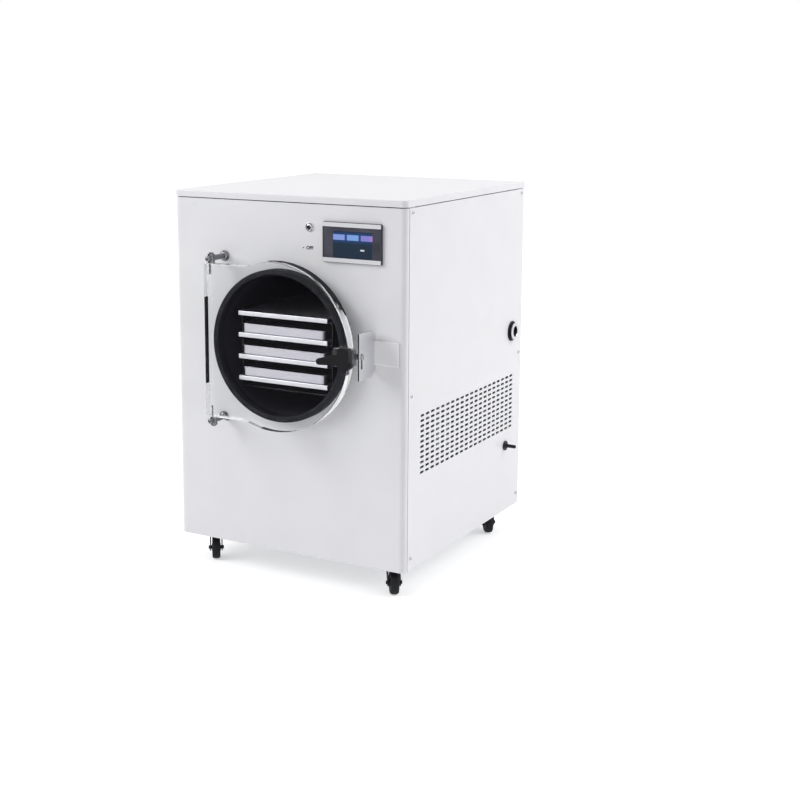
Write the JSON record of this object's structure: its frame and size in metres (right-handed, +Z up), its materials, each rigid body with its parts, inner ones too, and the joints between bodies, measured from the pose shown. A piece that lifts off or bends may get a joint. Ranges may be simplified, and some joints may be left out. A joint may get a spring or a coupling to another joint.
{
  "type": "freeze dryer",
  "caption": "Floor-standing freeze dryer: sheet-metal cabinet on swivel castors, round vacuum chamber with clear hinged door, shelves with trays, screen, side vents and ports.",
  "frame": {"origin": "middle of the footprint at floor level, under the castors' lowest points", "axes": "+Z up, -Y towards the door, +X towards the side with the vacuum port and drain nozzle"},
  "size_m": [0.5892, 0.6804, 0.824],
  "materials": {
    "casing": "smooth satin white powder coat",
    "frame_steel": "zinc-grey folded sheet",
    "screws": "plain steel",
    "stainless": "brushed",
    "black_rubber": "matt black moulded rubber",
    "foam": "rigid insulating foam",
    "copper": "bare copper tube",
    "shelf_metal": "fine satin",
    "tray_steel": "satin stainless",
    "black_enamel": "gloss black enamel",
    "fin_metal": "plain fins",
    "motor_grey": "grey enamel",
    "black_plastic": "semi-gloss black moulding",
    "hose": "translucent flexible hose",
    "screen_frame": "dark grey moulding",
    "screen_cover": "dark glossy display cover",
    "bright_metal": "polished",
    "polished_steel": "polished",
    "white_plastic": "smooth white",
    "clear_acrylic": "clear polished acrylic",
    "fork_black": "black enamel",
    "wheel_black": "black tread on a moulded wheel"
  },
  "bodies": {
    "cabinet": {"base_pan": "frame_steel", "corner_posts": "frame_steel", "chamber_cradle": "frame_steel", "front_panel": "casing", "left_panel": "casing", "right_panel": "casing", "back_panel": "casing", "top_cover": "casing", "panel_screws": "screws", "chamber": "stainless", "door_gasket": "black_rubber", "foam_jacket": "foam", "evaporator_coil": "copper", "rack_frame": "stainless", "heating_shelf_1": "shelf_metal", "heating_shelf_2": "shelf_metal", "heating_shelf_3": "shelf_metal", "heating_shelf_4": "shelf_metal", "tray_1": "tray_steel", "tray_2": "tray_steel", "tray_3": "tray_steel", "compressor": "black_enamel", "compressor_grommets": "black_rubber", "condenser": "fin_metal", "fan_shroud": "frame_steel", "fan_motor": "motor_grey", "filter_drier": "copper", "condenser_lines": "copper", "suction_line": "copper", "vacuum_pipe": "stainless", "vacuum_port": "stainless", "port_grommet": "black_rubber", "vacuum_gauge": "black_plastic", "drain_hose": "hose", "drain_nozzle": "black_plastic", "electrics_shelf": "frame_steel", "control_box": "frame_steel", "power_inlet": "black_plastic", "screen_housing": "screen_frame", "screen_glass": "screen_cover", "button_collar": "bright_metal", "hinge_posts": "bright_metal", "hinge_pins": "bright_metal", "latch_keeper": "polished_steel", "latch_bar": "white_plastic", "castor_plates": "frame_steel"},
    "door": {"door_plate": "clear_acrylic", "latch_body": "polished_steel"},
    "latch": {"latch_lever": "black_plastic", "latch_spindle": "polished_steel"},
    "power_button": {"power_button": "bright_metal"},
    "fan": {"fan_blades": "black_plastic"},
    "castor_fl": {"castor_fork_fl": "fork_black"},
    "wheel_fl": {"castor_wheel_fl": "wheel_black"},
    "castor_fr": {"castor_fork_fr": "fork_black"},
    "wheel_fr": {"castor_wheel_fr": "wheel_black"},
    "castor_rl": {"castor_fork_rl": "fork_black"},
    "wheel_rl": {"castor_wheel_rl": "wheel_black"},
    "castor_rr": {"castor_fork_rr": "fork_black"},
    "wheel_rr": {"castor_wheel_rr": "wheel_black"}
  },
  "joints": [
    {"name": "door_swing", "type": "hinge", "parent": "cabinet", "child": "door", "pos_m": [-0.1644, -0.2923, 0.516], "axis": [0, 0, -1], "range_deg": [0, 120]},
    {"name": "latch_turn", "type": "hinge", "parent": "door", "child": "latch", "pos_m": [0.1796, -0.3252, 0.516], "axis": [0, 1, 0], "range_deg": [0, 90]},
    {"name": "button_press", "type": "slide", "parent": "cabinet", "child": "power_button", "axis": [0, 1, 0], "range_m": [0, 0.0016], "stiffness_N_per_m": 300},
    {"name": "fan_spin", "type": "hinge", "parent": "cabinet", "child": "fan", "pos_m": [0.1611, 0.0072, 0.222], "axis": [1, 0, 0], "continuous": true},
    {"name": "castor_swivel_fl", "type": "hinge", "parent": "cabinet", "child": "castor_fl", "pos_m": [-0.2374, -0.1878, 0.058], "axis": [0, 0, 1], "continuous": true},
    {"name": "wheel_roll_fl", "type": "hinge", "parent": "castor_fl", "child": "wheel_fl", "pos_m": [-0.22593, -0.20418, 0.025], "axis": [0.8192, 0.5736, 0], "continuous": true},
    {"name": "castor_swivel_fr", "type": "hinge", "parent": "cabinet", "child": "castor_fr", "pos_m": [0.2126, -0.1878, 0.058], "axis": [0, 0, 1], "continuous": true},
    {"name": "wheel_roll_fr", "type": "hinge", "parent": "castor_fr", "child": "wheel_fr", "pos_m": [0.22407, -0.20418, 0.025], "axis": [0.8192, 0.5736, 0], "continuous": true},
    {"name": "castor_swivel_rl", "type": "hinge", "parent": "cabinet", "child": "castor_rl", "pos_m": [-0.2374, 0.2822, 0.058], "axis": [0, 0, 1], "continuous": true},
    {"name": "wheel_roll_rl", "type": "hinge", "parent": "castor_rl", "child": "wheel_rl", "pos_m": [-0.22593, 0.26582, 0.025], "axis": [0.8192, 0.5736, 0], "continuous": true},
    {"name": "castor_swivel_rr", "type": "hinge", "parent": "cabinet", "child": "castor_rr", "pos_m": [0.2126, 0.2822, 0.058], "axis": [0, 0, 1], "continuous": true},
    {"name": "wheel_roll_rr", "type": "hinge", "parent": "castor_rr", "child": "wheel_rr", "pos_m": [0.22407, 0.26582, 0.025], "axis": [0.8192, 0.5736, 0], "continuous": true}
  ]
}
